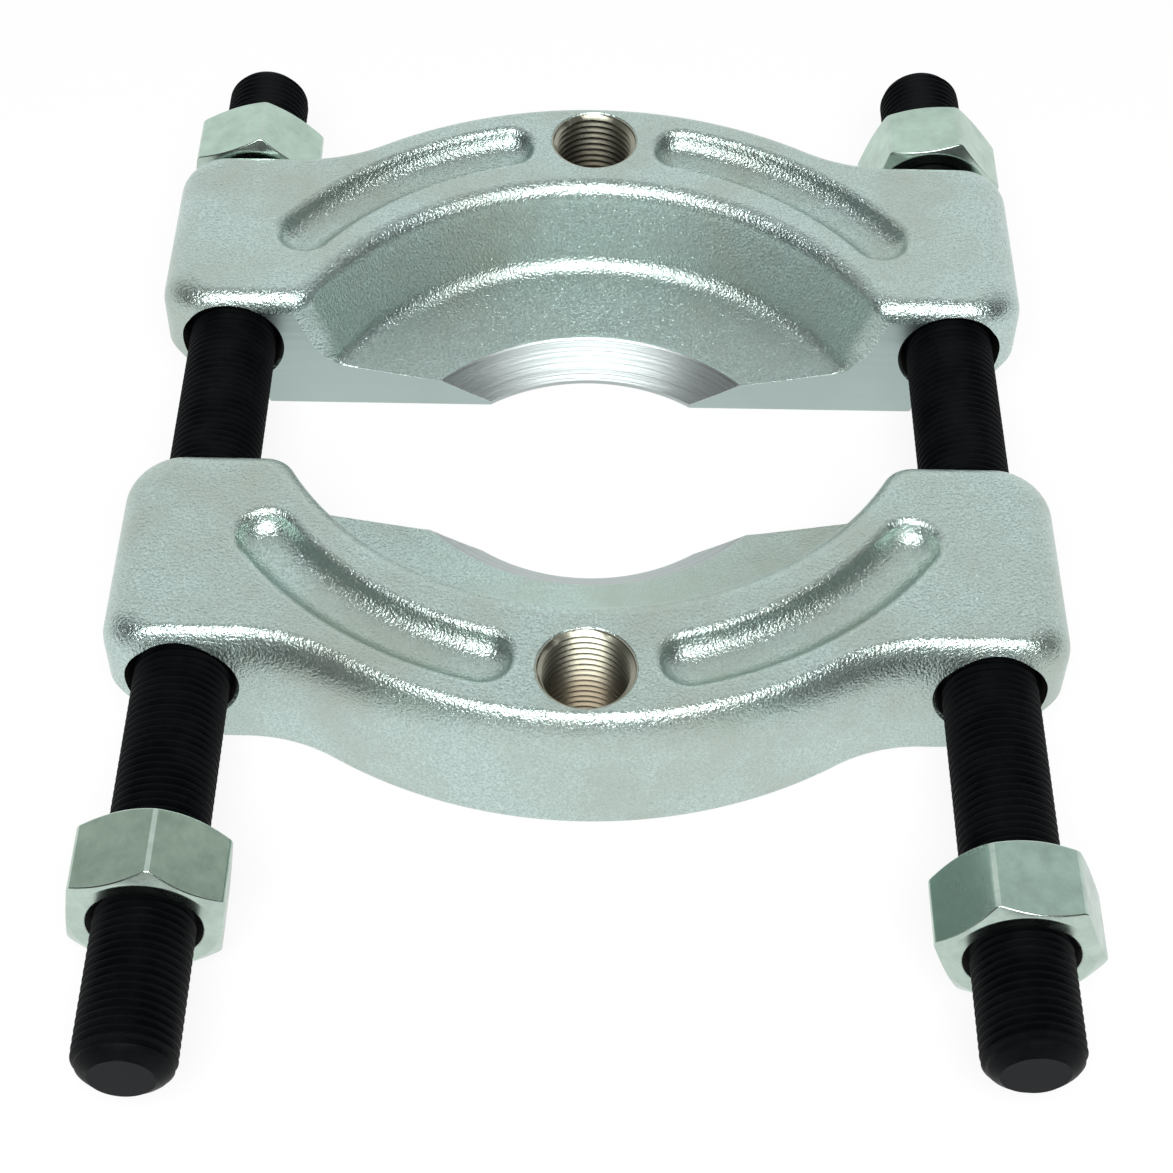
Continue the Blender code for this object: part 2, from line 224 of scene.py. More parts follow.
def half_outline(bowl, corner, front_inset, inset, side_x):
    """Points of one outline, drawn in by front_inset at the mating face and by inset on the outside."""
    back_y = EAR_LENGTH - inset
    outer = ARCH_RADIUS - inset
    fillet = ARCH_FILLET + inset
    corner_y = front_inset + corner
    corner_x = math.sqrt((bowl + corner) ** 2 - (BOWL_AXIS + corner_y) ** 2)
    meet = math.atan2(corner_y + BOWL_AXIS, corner_x)
    points = arc_points(0.0, -BOWL_AXIS, bowl, math.pi / 2.0, meet, BOWL_STEPS)
    points += arc_points(corner_x, corner_y, corner, meet - math.pi, -math.pi / 2.0, 10)[1:]
    straight = side_x - EAR_FRONT_CORNER - corner_x
    for step in range(1, 6):
        points.append((corner_x + straight * step / 6.0, front_inset))
    front = EAR_FRONT_CORNER - front_inset
    points += arc_points(side_x - front, front_inset + front, front, -math.pi / 2.0, 0.0, 10)
    side_length = back_y - EAR_BACK_CORNER - EAR_FRONT_CORNER
    for step in range(1, 6):
        points.append((side_x, EAR_FRONT_CORNER + side_length * step / 6.0))
    back = EAR_BACK_CORNER - inset
    points += arc_points(side_x - back, back_y - back, back, 0.0, math.pi / 2.0, 10)
    fillet_y = back_y + fillet
    fillet_x = math.sqrt((outer + fillet) ** 2 - (fillet_y + ARCH_AXIS) ** 2)
    lean = math.atan2(fillet_y + ARCH_AXIS, fillet_x)
    points += arc_points(fillet_x, fillet_y, fillet, -math.pi / 2.0, lean - math.pi, 18)
    points += arc_points(0.0, -ARCH_AXIS, outer, lean, math.pi / 2.0, 48)[1:]
    return points


sample = half_outline(RIM_RADIUS, 5.0 * MM, 0.0, 0.0, SIDE_X)
print("points in half an outline:", len(sample))

# %% [markdown]
# The bowl inside a half has four zones from the bottom up: the sharp land of the knife edge, the turned
# cone that bears on the bearing, the rough forged floor, and the steep wall up to the rim. A hollow
# fillet joins floor and wall. It could be a turned body cut out with a boolean, but then the rim's
# rounding would have to be cut as well. As each height has its own bowl radius, the loft makes the bowl
# and its rim in one go.

# %% Bowl radius for each height
RIM_CORNER = 5.0 * MM
KNIFE_CORNER = 0.4 * MM
KNIFE_LEAN = 0.05 * MM
CONE_BREAK_OUT = 0.7 * MM
CONE_BREAK_UP = 0.07 * MM
EDGE_ROUND = 3.6 * MM
EDGE_DROP = 8.0 * MM


def wall_radius(height):
    """Radius of the steep wall of the bowl at a height."""
    slope = (RIM_RADIUS - FLOOR_RADIUS) / (TOP + BELOW - FLOOR_HEIGHT)
    return RIM_RADIUS - slope * (TOP - height)


def bowl_profile():
    """Radius and height pairs from the underside up to where the rounding of the edges starts."""
    bottom = -BELOW
    cone_top = bottom + CONE_HEIGHT
    floor_top = bottom + FLOOR_HEIGHT
    floor_lean = math.atan2(floor_top - cone_top, FLOOR_RADIUS - CONE_RADIUS)
    wall_lean = math.atan2(TOP - floor_top, RIM_RADIUS - FLOOR_RADIUS)
    back_off = FLOOR_FILLET * math.tan((wall_lean - floor_lean) / 2.0)
    start_r = FLOOR_RADIUS - back_off * math.cos(floor_lean)
    start_z = floor_top - back_off * math.sin(floor_lean)
    centre_r = start_r - FLOOR_FILLET * math.sin(floor_lean)
    centre_z = start_z + FLOOR_FILLET * math.cos(floor_lean)
    profile = []
    for row in range(4):
        profile.append((KNIFE_RADIUS, bottom + KNIFE_LAND * row / 4.0))
    profile.append((KNIFE_RADIUS + KNIFE_LEAN, bottom + KNIFE_LAND))
    for step in range(1, 9):
        share = step / 8.0
        radius = KNIFE_RADIUS + (CONE_RADIUS - KNIFE_RADIUS) * share
        profile.append((radius, bottom + KNIFE_LAND + (CONE_HEIGHT - KNIFE_LAND) * share))
    # Two close rows keep the break between cone and floor crisp when the faces are shaded smooth.
    break_r = CONE_RADIUS + CONE_BREAK_OUT
    break_z = cone_top + CONE_BREAK_UP
    profile.append((CONE_RADIUS + CONE_BREAK_OUT * 0.36, cone_top + CONE_BREAK_UP * 0.43))
    profile.append((break_r, break_z))
    for step in range(1, 4):
        share = step / 4.0
        profile.append((break_r + (start_r - break_r) * share, break_z + (start_z - break_z) * share))
    start = floor_lean - math.pi / 2.0
    profile += arc_points(centre_r, centre_z, FLOOR_FILLET, start, wall_lean - math.pi / 2.0, 14)
    last = profile[-1][1]
    for step in range(1, 8):
        height = last + (TOP - EDGE_DROP - last) * step / 7.0
        profile.append((wall_radius(height), height))
    return profile


print("bowl heights:", len(bowl_profile()))

# %% [markdown]
# The ears are rounded twice: over the top outer edge, and in a long sweep under the outer side, where the
# die that forged them had to let go. Both only change how far the outline reaches sideways at each
# height.

# %% Ear side for each height
EAR_TOP_ROUND = 7.0 * MM
EAR_SWEEP_WIDTH = 27.0 * MM
EAR_SWEEP = math.radians(78.0)
EAR_LEAST_X = SIDE_X - 17.5 * MM
EAR_SQUEEZE_X = 58.0 * MM


def side_at(height):
    """How far the outline reaches sideways at a height."""
    above = height - (TOP - EAR_TOP_ROUND)
    if above > 0.0:
        return SIDE_X - EAR_TOP_ROUND + math.sqrt(max(EAR_TOP_ROUND**2 - above**2, 0.0))
    angle = math.acos(min(max(-height / BELOW, 0.0), 1.0))
    if angle >= EAR_SWEEP:
        return SIDE_X
    sweep = SIDE_X - EAR_SWEEP_WIDTH * (1.0 - math.sin(angle) / math.sin(EAR_SWEEP))
    return max(sweep, EAR_LEAST_X)


def squeeze(x, side_x):
    """Draw the outer part of an outline in, so that its outer side lies at side_x."""
    if x <= EAR_SQUEEZE_X:
        return x
    return EAR_SQUEEZE_X + (x - EAR_SQUEEZE_X) * (side_x - EAR_SQUEEZE_X) / (SIDE_X - EAR_SQUEEZE_X)


print("ear side at the rod axis:", round(side_at(0.0) * 1000, 1), "mm")

# %% [markdown]
# Now the levels are stacked. Below the rod's axis only the underside of the ears draws in. Above it come
# the wall and the rounded top edge, in close rows, because this is the edge that catches the light. The
# rim of the bowl follows a quarter circle. The outer edge rolls over more slowly, as forgings do where the
# steel has to fill the die, and that is what lays a dark band under its highlight. The corner where the
# bowl meets the mating face is sharp at the knife edge and grows round towards the rim.

# %% Skin of a half from underside to top
UNDERSIDE_ROUND = 1.3 * MM
CORNER_START = -5.0 * MM
CORNER_RISE = 6.0 * MM
EDGE_ROWS = 16


def rolled(depth, down):
    """How far an edge that rolls over within a depth of down draws in, at a depth below the top face."""
    share = max(1.0 - depth / down, 0.0)
    return EDGE_ROUND * (1.0 - math.sqrt(1.0 - share**2))


def half_levels():
    """Bowl radius, corner, insets of the rim, the outside and the underside, and height of each level."""
    levels = []
    for radius, height in bowl_profile():
        low = UNDERSIDE_ROUND - (height + BELOW)
        inset = 0.0
        if low > 0.0:
            inset = UNDERSIDE_ROUND - math.sqrt(UNDERSIDE_ROUND**2 - low**2)
        share = min(max((height - CORNER_START) / CORNER_RISE, 0.0), 1.0)
        corner = KNIFE_CORNER + (RIM_CORNER - KNIFE_CORNER) * share
        levels.append((radius, corner, 0.0, 0.0, inset, height))
    for row in range(1, EDGE_ROWS + 1):
        depth = EDGE_DROP * (1.0 - math.sin(math.pi / 2.0 * row / EDGE_ROWS))
        rim_inset = rolled(depth, EDGE_ROUND)
        bowl = wall_radius(TOP - max(depth, EDGE_ROUND)) + rim_inset
        levels.append((bowl, RIM_CORNER, rim_inset, rolled(depth, EDGE_DROP), 0.0, TOP - depth))
    return levels


def low_outline(bowl, corner, under_inset, height):
    """Outline below the rod's axis: the ear is drawn in, and the bowl keeps its own points."""
    flat = half_outline(bowl, corner, 0.0, 0.0, SIDE_X)
    outline = []
    for x, y in flat:
        drawn_x = squeeze(x, side_at(height))
        behind = y > EAR_FRONT_CORNER and drawn_x < SIDE_X
        outline.append((drawn_x, y - under_inset if behind else y))
    kept = BOWL_STEPS + 1
    outline[:kept] = flat[:kept]
    return outline


def half_skin():
    """Stack the outlines of all levels, each mirrored into a closed ring, into the skin of a half."""
    rings = []
    for bowl, corner, rim_inset, outer_inset, under_inset, height in half_levels():
        if height > 0.0:
            outline = half_outline(bowl, corner, rim_inset, outer_inset, side_at(height))
        else:
            outline = low_outline(bowl, corner, under_inset, height)
        left = [(-x, y) for x, y in reversed(outline[1:-1])]
        rings.append([(x, y, height) for x, y in outline + left])
    return stack_rings(rings)


skin_points, skin_faces = half_skin()
print("half skin:", len(skin_points), "points")

# %% [markdown]
# Two curved grooves in the top face lighten the forging. They are cut with a boolean, because they meet
# the flat top along their whole length. The cutter is lofted too: each level is a bent slot, narrow at
# the bottom, and its width follows a hollow fillet, a drafted wall and a rounded lip, so that the groove
# has the soft edges of a forged one.

# %% Cross-section of a groove
GROOVE_RADIUS = ARCH_RADIUS - 12.2 * MM
GROOVE_TOP_HALF = 6.4 * MM
GROOVE_DEPTH = 3.4 * MM
GROOVE_DRAFT = math.radians(30.0)
GROOVE_LIP = 1.9 * MM
GROOVE_HOLLOW = 4.0 * MM
GROOVE_NEAR = math.radians(14.6)
GROOVE_FAR = math.radians(54.0)
GROOVE_FLOOR_STEP = 0.002 * MM
GROOVE_FLARE = 1.2 * MM
GROOVE_FLARE_ANGLE = math.radians(9.0)


def groove_section():
    """Half width and height from the groove's floor to just above the top face."""
    lip_start = math.pi / 2.0 - GROOVE_DRAFT
    lip_low_z = TOP - GROOVE_LIP * (1.0 - math.cos(lip_start))
    lip_low_w = GROOVE_TOP_HALF - GROOVE_LIP * math.sin(lip_start)
    floor = TOP - GROOVE_DEPTH
    hollow_top_z = floor + GROOVE_HOLLOW * (1.0 - math.cos(lip_start))
    wall_run = (lip_low_z - hollow_top_z) * math.tan(GROOVE_DRAFT)
    hollow_top_w = lip_low_w - wall_run
    centre_w = hollow_top_w - GROOVE_HOLLOW * math.sin(lip_start)
    section = [(max(centre_w * 0.5, 0.3 * MM), floor)]
    for step in range(9):
        angle = lip_start * step / 8.0
        width = centre_w + GROOVE_HOLLOW * math.sin(angle)
        section.append((width, floor + GROOVE_HOLLOW * (1.0 - math.cos(angle)) + GROOVE_FLOOR_STEP))
    for step in range(8):
        angle = lip_start * (1.0 - step / 8.0)
        width = GROOVE_TOP_HALF - GROOVE_LIP * math.sin(angle)
        section.append((width, TOP - GROOVE_LIP * (1.0 - math.cos(angle))))
    # Above the lip the cutter flares out, so that it leaves the top face at a clean, shallow angle.
    last_w, last_z = section[-1]
    section.append((last_w + GROOVE_FLARE, last_z + GROOVE_FLARE * math.tan(GROOVE_FLARE_ANGLE)))
    return section


def groove_skin(side):
    near = math.pi / 2.0 - GROOVE_NEAR
    far = math.pi / 2.0 - GROOVE_FAR
    rings = []
    for width, height in groove_section():
        line = arc_points(0.0, -ARCH_AXIS, GROOVE_RADIUS + width, near, far, 32)
        end_x = GROOVE_RADIUS * math.cos(far)
        end_y = GROOVE_RADIUS * math.sin(far) - ARCH_AXIS
        line += arc_points(end_x, end_y, width, far, far - math.pi, 20)[1:-1]
        line += arc_points(0.0, -ARCH_AXIS, GROOVE_RADIUS - width, far, near, 32)
        start_x = GROOVE_RADIUS * math.cos(near)
        start_y = GROOVE_RADIUS * math.sin(near) - ARCH_AXIS
        line += arc_points(start_x, start_y, width, near + math.pi, near, 20)[1:-1]
        rings.append([(x * side, y, height) for x, y in line])
    return stack_rings(rings)


for width, height in groove_section()[::6]:
    print("groove half width", round(width * 1000, 2), "at", round((height - TOP) * 1000, 2), "mm")

# %% [markdown]
# The ear bores are plain clearance holes with a small chamfer, and the puller hole is left a little wide
# here, because its thread comes as a piece of its own. Both cutters are turned profiles.

# %% Cutters for the bores and the puller hole
HOLE_WALL = ROD_RADIUS + 0.15 * MM


def turned(profile, segments):
    rings = []
    for radius, along in profile:
        ring = []
        for step in range(segments):
            angle = 2.0 * math.pi * step / segments
            ring.append((radius * math.cos(angle), along, radius * math.sin(angle)))
        rings.append(ring)
    return stack_rings(rings)


def ear_bore_skin(side):
    edge = 0.45 * MM
    over = 1.0 * MM
    profile = [
        (BORE_RADIUS + edge + over, -over),
        (BORE_RADIUS, edge),
        (BORE_RADIUS, EAR_LENGTH - edge),
        (BORE_RADIUS + edge + over, EAR_LENGTH + over),
    ]
    points, faces = turned(profile, 96)
    return [(x + side * ROD_X, y, z + BORE_LIFT) for x, y, z in points], faces


def puller_hole_skin():
    edge = 0.30 * MM
    over = 1.0 * MM
    profile = [
        (HOLE_WALL + edge + over, -BELOW - over),
        (HOLE_WALL, -BELOW + edge),
        (HOLE_WALL, TOP - edge),
        (HOLE_WALL + edge + over, TOP + over),
    ]
    points, faces = turned(profile, 96)
    return [(x, HOLE_DISTANCE - z, y) for x, y, z in points], faces


print("bore", round(2000 * BORE_RADIUS, 2), "mm, puller hole", round(2000 * HOLE_WALL, 2), "mm across")

# %% [markdown]
# The two halves are the same forging, so one function makes both, and the front one is turned half a
# turn. After the cuts the faces are shaded smooth, sharp edges are marked by their angle, and the normals
# are weighted by face size, which keeps the flat faces flat beside their narrow roundings. Last, each
# face is numbered by how it was finished in the works.

# %% Make both halves
SLOT_FORGED = 0
SLOT_MILLED = 1
SLOT_TURNED = 2
SLOT_DRILLED = 3


def placed(points, face_y, outward):
    """Put a half's own points into the world. The front half is turned half a turn about Z."""
    return [(x * outward, face_y + y * outward, ROD_Z + z) for x, y, z in points]


def finish_of_face(x, y, z, normal_y, normal_z):
    """Which finish a face of a half has, from where it lies in the half's own places."""
    from_axis = math.hypot(x, y + BOWL_AXIS)
    if math.hypot(abs(x) - ROD_X, z - BORE_LIFT) < BORE_RADIUS + 0.3 * MM and abs(normal_y) < 0.3:
        return SLOT_DRILLED
    if normal_y < -0.98 and y < 0.02 * MM:
        return SLOT_MILLED
    if normal_z < -0.98 and z < -BELOW + 0.05 * MM:
        return SLOT_MILLED
    if from_axis < CONE_RADIUS - 0.05 * MM and z < -BELOW + CONE_HEIGHT:
        return SLOT_TURNED
    return SLOT_FORGED


def make_half(name, face_y, outward):
    points, faces = half_skin()
    half = make_piece(name, placed(points, face_y, outward), faces)
    cutters = []
    for side in (-1, 1):
        cutters.append(ear_bore_skin(side))
        cutters.append(groove_skin(side))
    cutters.append(puller_hole_skin())
    tools = []
    for number, (points, faces) in enumerate(cutters):
        tool = make_piece(f"{name}_cutter_{number}", placed(points, face_y, outward), faces)
        modifier = half.modifiers.new("cut", "BOOLEAN")
        modifier.operation = "DIFFERENCE"
        modifier.solver = "EXACT"
        modifier.object = tool
        tools.append(tool)
    bake_modifiers(half)
    for tool in tools:
        bpy.data.objects.remove(tool, do_unlink=True)
    half.data.shade_smooth()
    half.data.set_sharp_from_angle(angle=math.radians(32.0))
    even = half.modifiers.new("even", "WEIGHTED_NORMAL")
    even.keep_sharp = True
    even.weight = 90
    bake_modifiers(half)
    return half


def half_finishes(half, face_y, outward):
    """Number the finish of every face: forged, milled, turned or drilled."""
    counts = [0, 0, 0, 0]
    for polygon in half.data.polygons:
        x, y, z = polygon.center
        own_y = (y - face_y) * outward
        facing_y = polygon.normal.y * outward
        slot = finish_of_face(x * outward, own_y, z - ROD_Z, facing_y, polygon.normal.z)
        polygon.material_index = slot
        counts[slot] += 1
    print(half.name, "faces forged, milled, turned, drilled:", counts)


rear_half = make_half("rear_forging", REAR_FACE_Y, 1)
front_half = make_half("front_forging", FRONT_FACE_Y, -1)
print("faces in one half:", len(rear_half.data.polygons))

# %% [markdown]
# The rods are threaded from end to end, 18 threads to the inch. A real thread is a helix, and it can be
# made with a screw modifier or by hand. Here the surface is laid out as one long ramp: rows of points
# climb one pitch per turn, so the last column of a row joins the row one pitch further on. The crest and
# the root are flats.

# %% Thread surface
THREAD_SIDES = 64
THREAD_ROWS = ((0.0, 0.0), (0.10, 0.0), (0.47, 1.0), (0.63, 1.0))


def thread_ramp(crest, depth, low, high, limit):
    """Points and faces of a helical thread from low to high along Y. limit(y, radius) may trim it."""
    first = int(math.floor(low / THREAD_PITCH)) - 2
    last = int(math.ceil(high / THREAD_PITCH)) + 2
    points = []
    for turn in range(first, last):
        for share, sunk in THREAD_ROWS:
            for step in range(THREAD_SIDES):
                angle = 2.0 * math.pi * step / THREAD_SIDES
                along = (turn + share + step / THREAD_SIDES) * THREAD_PITCH
                radius = limit(along, crest - depth * sunk)
                points.append((radius * math.sin(angle), along, radius * math.cos(angle)))
    rows_per_turn = len(THREAD_ROWS)
    rows = (last - first) * rows_per_turn
    faces = []
    for row in range(rows - 1):
        for step in range(THREAD_SIDES):
            here = row * THREAD_SIDES + step
            above = here + THREAD_SIDES
            if step < THREAD_SIDES - 1:
                faces.append((here, here + 1, above + 1, above))
            elif row + rows_per_turn + 1 < rows:
                joined = (row + rows_per_turn) * THREAD_SIDES
                faces.append((here, joined, joined + THREAD_SIDES, above))
    return points, faces


print("one pitch is", round(THREAD_PITCH * 1000, 3), "mm,", THREAD_SIDES * len(THREAD_ROWS), "points a turn")

# %% [markdown]
# A helix has no square end, so the ramp is made two turns too long and sawn off, as a length of threaded
# bar is. The cut is closed where it is the end of a rod, and stays open where a sleeve continues it.

# %% Cut a thread to length
def trim_ends(piece, low, high, fill):
    """Cut a piece square at two places along Y, and close it there if wanted."""
    shape = bmesh.new()
    shape.from_mesh(piece.data)
    for place, away in ((low, -1.0), (high, 1.0)):
        everything = shape.verts[:] + shape.edges[:] + shape.faces[:]
        cut = bmesh.ops.bisect_plane(
            shape,
            geom=everything,
            dist=1e-7,
            plane_co=(0.0, place, 0.0),
            plane_no=(0.0, away, 0.0),
            clear_outer=True,
        )
        if fill:
            edges = [item for item in cut["geom_cut"] if isinstance(item, bmesh.types.BMEdge)]
            bmesh.ops.contextual_create(shape, geom=edges)
    bmesh.ops.recalc_face_normals(shape, faces=shape.faces[:])
    shape.to_mesh(piece.data)
    shape.free()


rod_low, rod_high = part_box("left_rod")
print("rod length:", round((rod_high[1] - rod_low[1]) * 1000, 1), "mm")

# %% [markdown]
# A rod's ends are rounded off on a lathe, so that a nut starts easily. No point of the thread may stand
# out further than that rounding lets it, so the thread fades away towards the end by itself.

# %% Make both rods
ROD_CHAMFER = 3.4 * MM
ROD_END_RADIUS = ROD_RADIUS - 2.9 * MM
ROD_END_BULGE = 2.2


def make_rod(name, node):
    low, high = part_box(node)
    centre_x = (low[0] + high[0]) / 2.0

    def chamfered(along, radius):
        room = min(along - low[1], high[1] - along)
        share = min(max(room / ROD_CHAMFER, 0.0), 1.0)
        rounded = 1.0 - (1.0 - share) ** ROD_END_BULGE
        return min(radius, ROD_END_RADIUS + (ROD_RADIUS - ROD_END_RADIUS) * rounded)

    points, faces = thread_ramp(ROD_RADIUS, THREAD_DEPTH, low[1], high[1], chamfered)
    rod = make_piece(name, points, faces)
    trim_ends(rod, low[1], high[1], True)
    for point in rod.data.vertices:
        point.co.x += centre_x
        point.co.z += ROD_Z
    rod.data.shade_smooth()
    rod.data.set_sharp_from_angle(angle=math.radians(30.0))
    return rod


left_rod = make_rod("left_threaded_rod", "left_rod")
right_rod = make_rod("right_threaded_rod", "right_rod")
print("faces in one rod:", len(left_rod.data.polygons))

# %% [markdown]
# The hole at the crown of each half has the same thread as the rods, tapped right through. The thread is a
# sleeve of its own inside the forging: a helical inner wall and a plain outer wall that is buried in the
# steel. Its bare, freshly cut metal looks browner than the blasted skin round it, and it is painted darker
# the deeper it lies, as painted shade in the hole.

# %% Make the two threaded sleeves
def make_sleeve(name, face_y, outward):
    recess = 0.2 * MM
    low = -BELOW + recess
    high = TOP - recess
    lead = 0.5 * MM

    def opened(along, radius):
        room = min(along - low, high - along)
        lip = HOLE_WALL - max(room, 0.0) * 0.9
        return max(radius, lip) if room < lead else radius

    points, faces = thread_ramp(ROD_RADIUS, THREAD_DEPTH, low, high, opened)
    sleeve = make_piece(name, points, faces)
    trim_ends(sleeve, low, high, False)
    shape = bmesh.new()
    shape.from_mesh(sleeve.data)
    loops = [edge for edge in shape.edges if edge.is_boundary]
    grown = bmesh.ops.extrude_edge_only(shape, edges=loops)
    outer = HOLE_WALL + 0.12 * MM
    for item in grown["geom"]:
        if isinstance(item, bmesh.types.BMVert):
            flat = Vector((item.co.x, 0.0, item.co.z)).normalized() * outer
            item.co = Vector((flat.x, item.co.y, flat.z))
    bmesh.ops.bridge_loops(shape, edges=[edge for edge in shape.edges if edge.is_boundary])
    bmesh.ops.recalc_face_normals(shape, faces=shape.faces[:])
    shape.to_mesh(sleeve.data)
    shape.free()
    centre_y = face_y + HOLE_DISTANCE * outward
    for point in sleeve.data.vertices:
        x, y, z = point.co
        point.co = (x, centre_y - z, ROD_Z + y)
    sleeve.data.shade_smooth()
    sleeve.data.set_sharp_from_angle(angle=math.radians(30.0))
    return sleeve


rear_sleeve = make_sleeve("rear_puller_thread", REAR_FACE_Y, 1)
front_sleeve = make_sleeve("front_puller_thread", FRONT_FACE_Y, -1)
print("faces in one sleeve:", len(rear_sleeve.data.polygons))

# %% [markdown]
# A hexagon nut is a six-sided bar cut to length, with both faces chamfered by a cone. The cone meets the
# flats in the curved lines that make a nut look like a nut. Column by column round the axis, the outer
# radius follows the hexagon and the height of the chamfer follows from that radius, so the curves come by
# themselves. Each nut stands at the angle where the spanner left it in the photograph.

# %% Nut sizes and the turn of each nut
NUT_FLATS = 2.0 * (ROD_RADIUS + 0.3 * MM + 3.66 * MM)
NUT_FACE_RADIUS = NUT_FLATS / 2.0 * 0.955
NUT_SLOPE = math.tan(math.radians(30.0))
NUT_MOUTH = ROD_RADIUS + 1.2 * MM
NUT_TURN = {
    "rear_left_nut": 81.1,
    "rear_right_nut": 9.7,
    "front_left_nut": 82.1,
    "front_right_nut": 52.3,
}
# Tint of each nut's flats: a little duller zinc, and on the front nuts a much darker tint that is painted
# shade.
NUT_FLAT_TINT_AND_PAINTED_SHADE = {
    "rear_left_nut": (0.48, 0.63, 0.54),
    "rear_right_nut": (0.48, 0.63, 0.54),
    "front_left_nut": (0.29, 0.38, 0.31),
    "front_right_nut": (0.36, 0.49, 0.43),
}
NEAR_CORNER = (0.0, 0.6, 1.4, 3.0, 6.0)


def nut_angles():
    """Angles round the axis, closer together at the six corners."""
    one_side = list(NEAR_CORNER) + [10.0 + 5.0 * step for step in range(9)]
    one_side += [60.0 - offset for offset in reversed(NEAR_CORNER[1:])]
    result = []
    for corner in range(6):
        result += [math.radians(60.0 * corner + offset) for offset in one_side]
    return result


print("columns round a nut:", len(nut_angles()))

# %% [markdown]
# Every nut is made from the same columns and then softened with a small bevel, because a zinc plated edge is
# never knife sharp. The flats come as drawn bar and are a little duller than the faced ends and the worn
# corners. On the front nuts, most of all the front left one, the flats carry a much darker tint, which is
# painted shade. The thread inside is painted nearly black, also as painted shade, so flats, ends and thread
# are numbered as three finishes.

# %% Make the four nuts
def nut_side(local):
    """Distance from the axis to the hexagon at an angle, with the very corner taken off."""
    off_flat = (local % (math.pi / 3.0)) - math.pi / 6.0
    blunt = NUT_FLATS / 2.0 / math.cos(math.pi / 6.0) - 0.22 * MM
    return min(NUT_FLATS / 2.0 / math.cos(off_flat), blunt)


def make_nut(name, node):
    low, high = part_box(node)
    middle_x = (low[0] + high[0]) / 2.0
    middle_y = (low[1] + high[1]) / 2.0
    half = (high[1] - low[1]) / 2.0
    turn = math.radians(NUT_TURN[node])
    bore = ROD_RADIUS - 0.35 * MM
    points = []
    for local in nut_angles():
        side = nut_side(local)
        edge = half - (side - NUT_FACE_RADIUS) * NUT_SLOPE
        column = [
            (bore, -half + 1.5 * MM),
            (NUT_MOUTH, -half),
            (NUT_FACE_RADIUS, -half),
            (side, -edge),
            (side, edge),
            (NUT_FACE_RADIUS, half),
            (NUT_MOUTH, half),
            (bore, half - 1.5 * MM),
        ]
        angle = local + turn
        for radius, along in column:
            x = middle_x + radius * math.cos(angle)
            points.append((x, middle_y + along, ROD_Z + radius * math.sin(angle)))
    rows = len(column)
    count = len(nut_angles())
    faces = []
    for step in range(count):
        here = step * rows
        there = ((step + 1) % count) * rows
        for row in range(rows):
            after = (row + 1) % rows
            faces.append((here + row, here + after, there + after, there + row))
    nut = make_piece(name, points, faces)
    soften = nut.modifiers.new("soften", "BEVEL")
    soften.width = 0.32 * MM
    soften.segments = 3
    soften.limit_method = "ANGLE"
    soften.angle_limit = math.radians(20.0)
    soften.harden_normals = True
    nut.data.shade_smooth()
    even = nut.modifiers.new("even", "WEIGHTED_NORMAL")
    even.weight = 80
    bake_modifiers(nut)
    return nut


def nut_finishes(nut, node):
    """Number the finish of every face: faced ends and worn corners, the thread and mouth painted nearly
    black as shade, and the flats, whose tint is partly painted shade.
    """
    low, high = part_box(node)
    middle_x = (low[0] + high[0]) / 2.0
    for polygon in nut.data.polygons:
        normal = polygon.normal
        place = polygon.center
        around = math.degrees(math.atan2(normal.z, normal.x)) - NUT_TURN[node]
        off_flat = abs(around % 60.0 - 30.0)
        polygon.material_index = 0
        if math.hypot(place.x - middle_x, place.z - ROD_Z) < NUT_MOUTH - 0.1 * MM:
            polygon.material_index = 1
        elif abs(normal.y) < 0.1 and off_flat < 12.0:
            polygon.material_index = 2


nuts = {node: make_nut(node.replace("_nut", "_hex_nut"), node) for node in NUT_TURN}
print("made", len(nuts), "nuts,", round(NUT_FLATS * 1000, 2), "mm across flats")

# %% [markdown]
# Finishes come next. Each one is made from noise and a little arithmetic, with no pictures. A small kit
# of node helpers keeps them readable: every helper adds one node, links it, and returns its output. The
# textures follow the object's own coordinates, so they stay on a piece when it moves.

# %% Node helpers
def new_finish(name, colour, metallic, roughness):
    material = bpy.data.materials.new(name)
    material.use_nodes = True
    shader = material.node_tree.nodes["Principled BSDF"]
    shader.inputs["Base Color"].default_value = (*colour, 1.0)
    shader.inputs["Metallic"].default_value = metallic
    shader.inputs["Roughness"].default_value = roughness
    return material, material.node_tree, shader


def own_place(tree):
    return tree.nodes.new("ShaderNodeTexCoord").outputs["Object"]


def noise(tree, place, scale, detail=3.0, roughness=0.55):
    node = tree.nodes.new("ShaderNodeTexNoise")
    node.inputs["Scale"].default_value = scale
    node.inputs["Detail"].default_value = detail
    node.inputs["Roughness"].default_value = roughness
    tree.links.new(place, node.inputs["Vector"])
    return node.outputs["Fac"]


def spread(tree, value, from_low, from_high, to_low, to_high):
    node = tree.nodes.new("ShaderNodeMapRange")
    for label, number in (
        ("From Min", from_low),
        ("From Max", from_high),
        ("To Min", to_low),
        ("To Max", to_high),
    ):
        node.inputs[label].default_value = number
    tree.links.new(value, node.inputs["Value"])
    return node.outputs["Result"]


def sum_of(tree, kind, first, second):
    node = tree.nodes.new("ShaderNodeMath")
    node.operation = kind
    for socket, value in zip(node.inputs, (first, second)):
        if isinstance(value, (int, float)):
            socket.default_value = value
        else:
            tree.links.new(value, socket)
    return node.outputs["Value"]


def blend_colours(tree, share, first, second):
    node = tree.nodes.new("ShaderNodeMix")
    node.data_type = "RGBA"
    tree.links.new(share, node.inputs["Factor"])
    for socket, value in ((node.inputs[6], first), (node.inputs[7], second)):
        if isinstance(value, tuple):
            socket.default_value = (*value, 1.0)
        else:
            tree.links.new(value, socket)
    return node.outputs[2]


